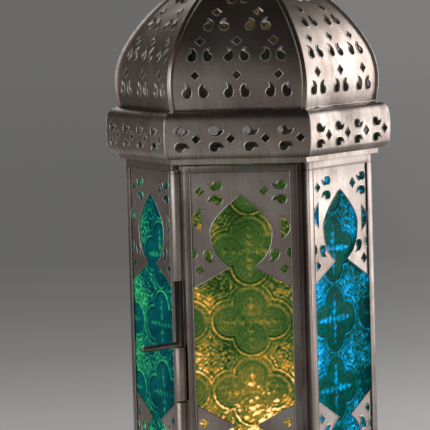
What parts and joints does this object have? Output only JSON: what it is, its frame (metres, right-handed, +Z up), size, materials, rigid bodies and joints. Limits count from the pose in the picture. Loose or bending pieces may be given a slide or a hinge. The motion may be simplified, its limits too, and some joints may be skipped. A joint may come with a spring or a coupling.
{
  "type": "fanous lantern",
  "caption": "Hexagonal pierced metal lantern with patterned coloured glass panes, a hinged door on a lift-out pin, an onion dome, a candle and a hanging ring.",
  "frame": {"origin": "centre of the base plate's underside, on the surface that the lantern stands on", "axes": "+Z up along the lantern's axis, the door faces -Y, +X to the right seen from the door"},
  "size_m": [0.1704, 0.1626, 0.4004],
  "materials": {
    "pierced_sheet": "antiqued silver sheet, darkened in the recesses and rubbed bright at the edges",
    "folded_strip": "antiqued silver strip, rubbed bright along the folds",
    "plain_sheet": "dull antiqued silver sheet",
    "turned_metal": "antiqued silver tube and wire",
    "amber_glass": "pressed glass with a raised pattern, amber",
    "blue_glass": "pressed glass with a raised pattern, blue",
    "green_glass": "pressed glass with a raised pattern, green",
    "wax": "smooth candle wax",
    "wick": "charred cotton"
  },
  "bodies": {
    "lantern": {"base_plate": "plain_sheet", "base_side_back": "pierced_sheet", "base_side_back_left": "pierced_sheet", "base_side_back_right": "pierced_sheet", "base_side_front": "pierced_sheet", "base_side_front_left": "pierced_sheet", "base_side_front_right": "pierced_sheet", "candle": "wax", "candle_cup": "turned_metal", "collar_side_back": "pierced_sheet", "collar_side_back_left": "pierced_sheet", "collar_side_back_right": "pierced_sheet", "collar_side_front": "pierced_sheet", "collar_side_front_left": "pierced_sheet", "collar_side_front_right": "pierced_sheet", "corner_post_back_left": "folded_strip", "corner_post_back_right": "folded_strip", "corner_post_front_left": "folded_strip", "corner_post_front_right": "folded_strip", "corner_post_left": "folded_strip", "corner_post_right": "folded_strip", "dome_cap": "turned_metal", "dome_gore_back": "pierced_sheet", "dome_gore_back_left": "pierced_sheet", "dome_gore_back_right": "pierced_sheet", "dome_gore_front": "pierced_sheet", "dome_gore_front_left": "pierced_sheet", "dome_gore_front_right": "pierced_sheet", "dome_rib_back_left": "folded_strip", "dome_rib_back_right": "folded_strip", "dome_rib_front_left": "folded_strip", "dome_rib_front_right": "folded_strip", "dome_rib_left": "folded_strip", "dome_rib_right": "folded_strip", "fretwork_back": "pierced_sheet", "fretwork_back_left": "pierced_sheet", "fretwork_back_right": "pierced_sheet", "fretwork_front_left": "pierced_sheet", "fretwork_front_right": "pierced_sheet", "glass_pane_back": "amber_glass", "glass_pane_back_left": "blue_glass", "glass_pane_back_right": "green_glass", "glass_pane_front_left": "green_glass", "glass_pane_front_right": "blue_glass", "hanging_eye": "turned_metal", "hinge_tubes": "turned_metal", "panel_frame_back": "folded_strip", "panel_frame_back_left": "folded_strip", "panel_frame_back_right": "folded_strip", "panel_frame_front_left": "folded_strip", "panel_frame_front_right": "folded_strip", "wick": "wick"},
    "door": {"door_frame": "folded_strip", "door_fretwork": "pierced_sheet", "door_glass": "amber_glass", "door_hinge_tube": "turned_metal"},
    "pin": {"hinge_pin": "turned_metal"},
    "ring": {"hanging_ring": "turned_metal"}
  },
  "joints": [
    {"name": "door_hinge", "type": "hinge", "parent": "lantern", "child": "door", "pos_m": [-0.0375, -0.06495, 0.1245], "axis": [0, 0, -1], "range_deg": [0, 100]},
    {"name": "pin_lift", "type": "slide", "parent": "lantern", "child": "pin", "axis": [0, 0, 1], "range_m": [0, 0.035]},
    {"name": "ring_swing", "type": "hinge", "parent": "lantern", "child": "ring", "pos_m": [0, 0, 0.39402], "axis": [1, 0, 0], "range_deg": [0, 148]}
  ]
}
